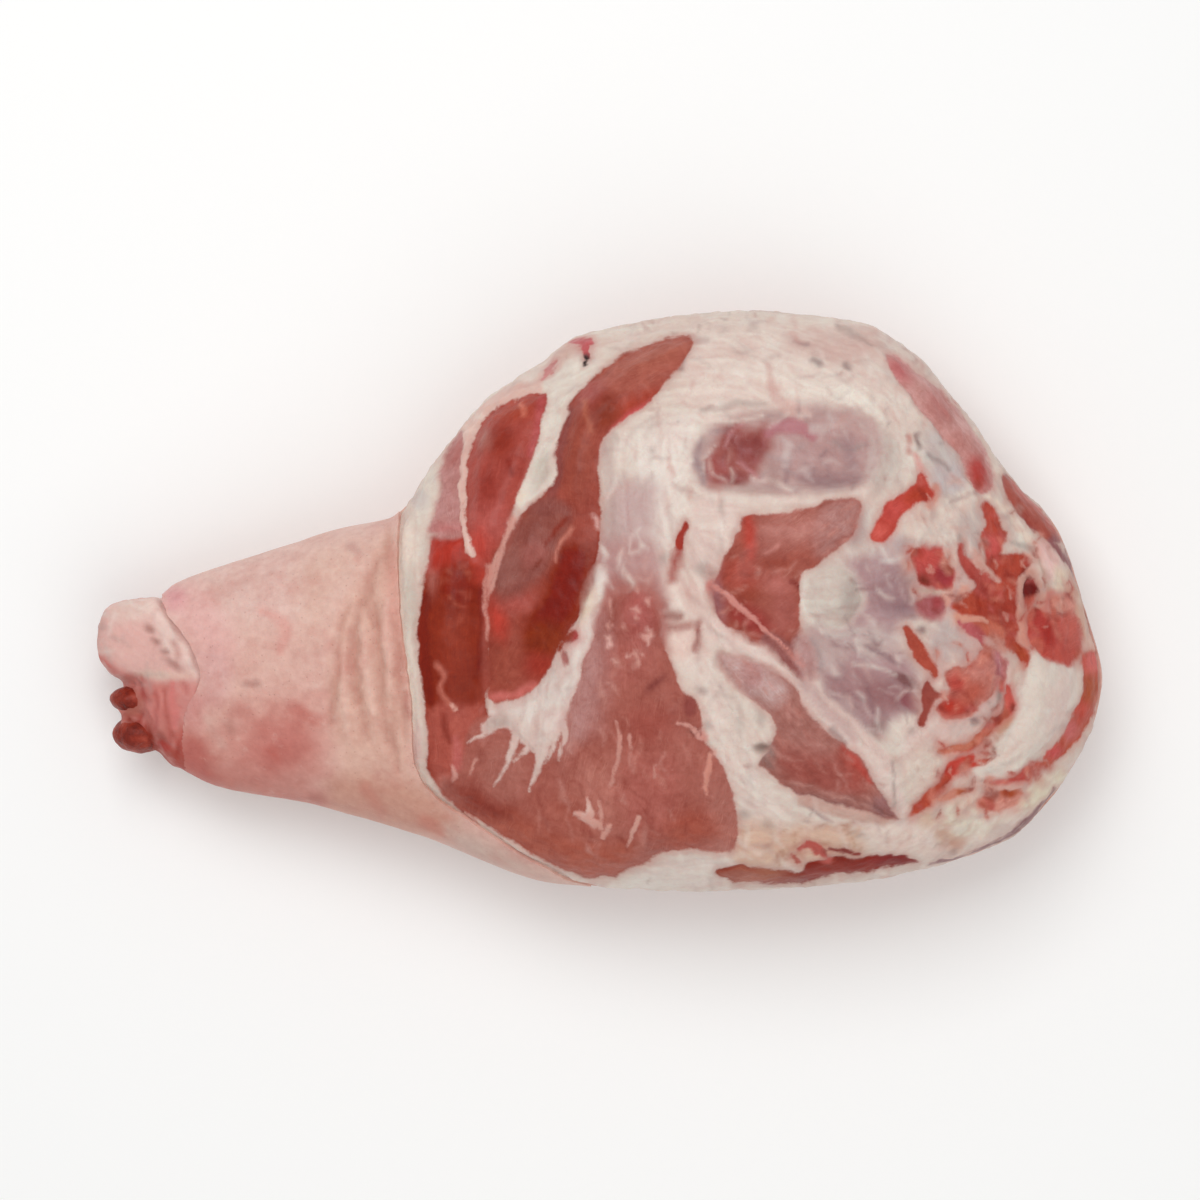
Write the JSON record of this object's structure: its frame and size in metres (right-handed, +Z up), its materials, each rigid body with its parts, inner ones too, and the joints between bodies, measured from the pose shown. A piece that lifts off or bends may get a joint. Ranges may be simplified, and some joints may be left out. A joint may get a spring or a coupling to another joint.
{
  "type": "pork leg",
  "caption": "Raw bone-in pork leg cut off at the hock, lying on its outer side with the trimmed meat face up and the rind left on the shank.",
  "frame": {"origin": "under the middle of the leg's bounding box, on the surface that the leg lies on", "axes": "+X along the leg from the hock to the butt, +Y across it towards the back of the leg, +Z up out of the meat face"},
  "size_m": [0.505, 0.289, 0.1492],
  "materials": {
    "raw_pork": "raw pork: lean, fat and rind, with a slight moist sheen",
    "bone": "blood-stained joint bone, moist"
  },
  "bodies": {
    "root": {"leg": "raw_pork", "ankle_bone": "bone"}
  },
  "joints": []
}
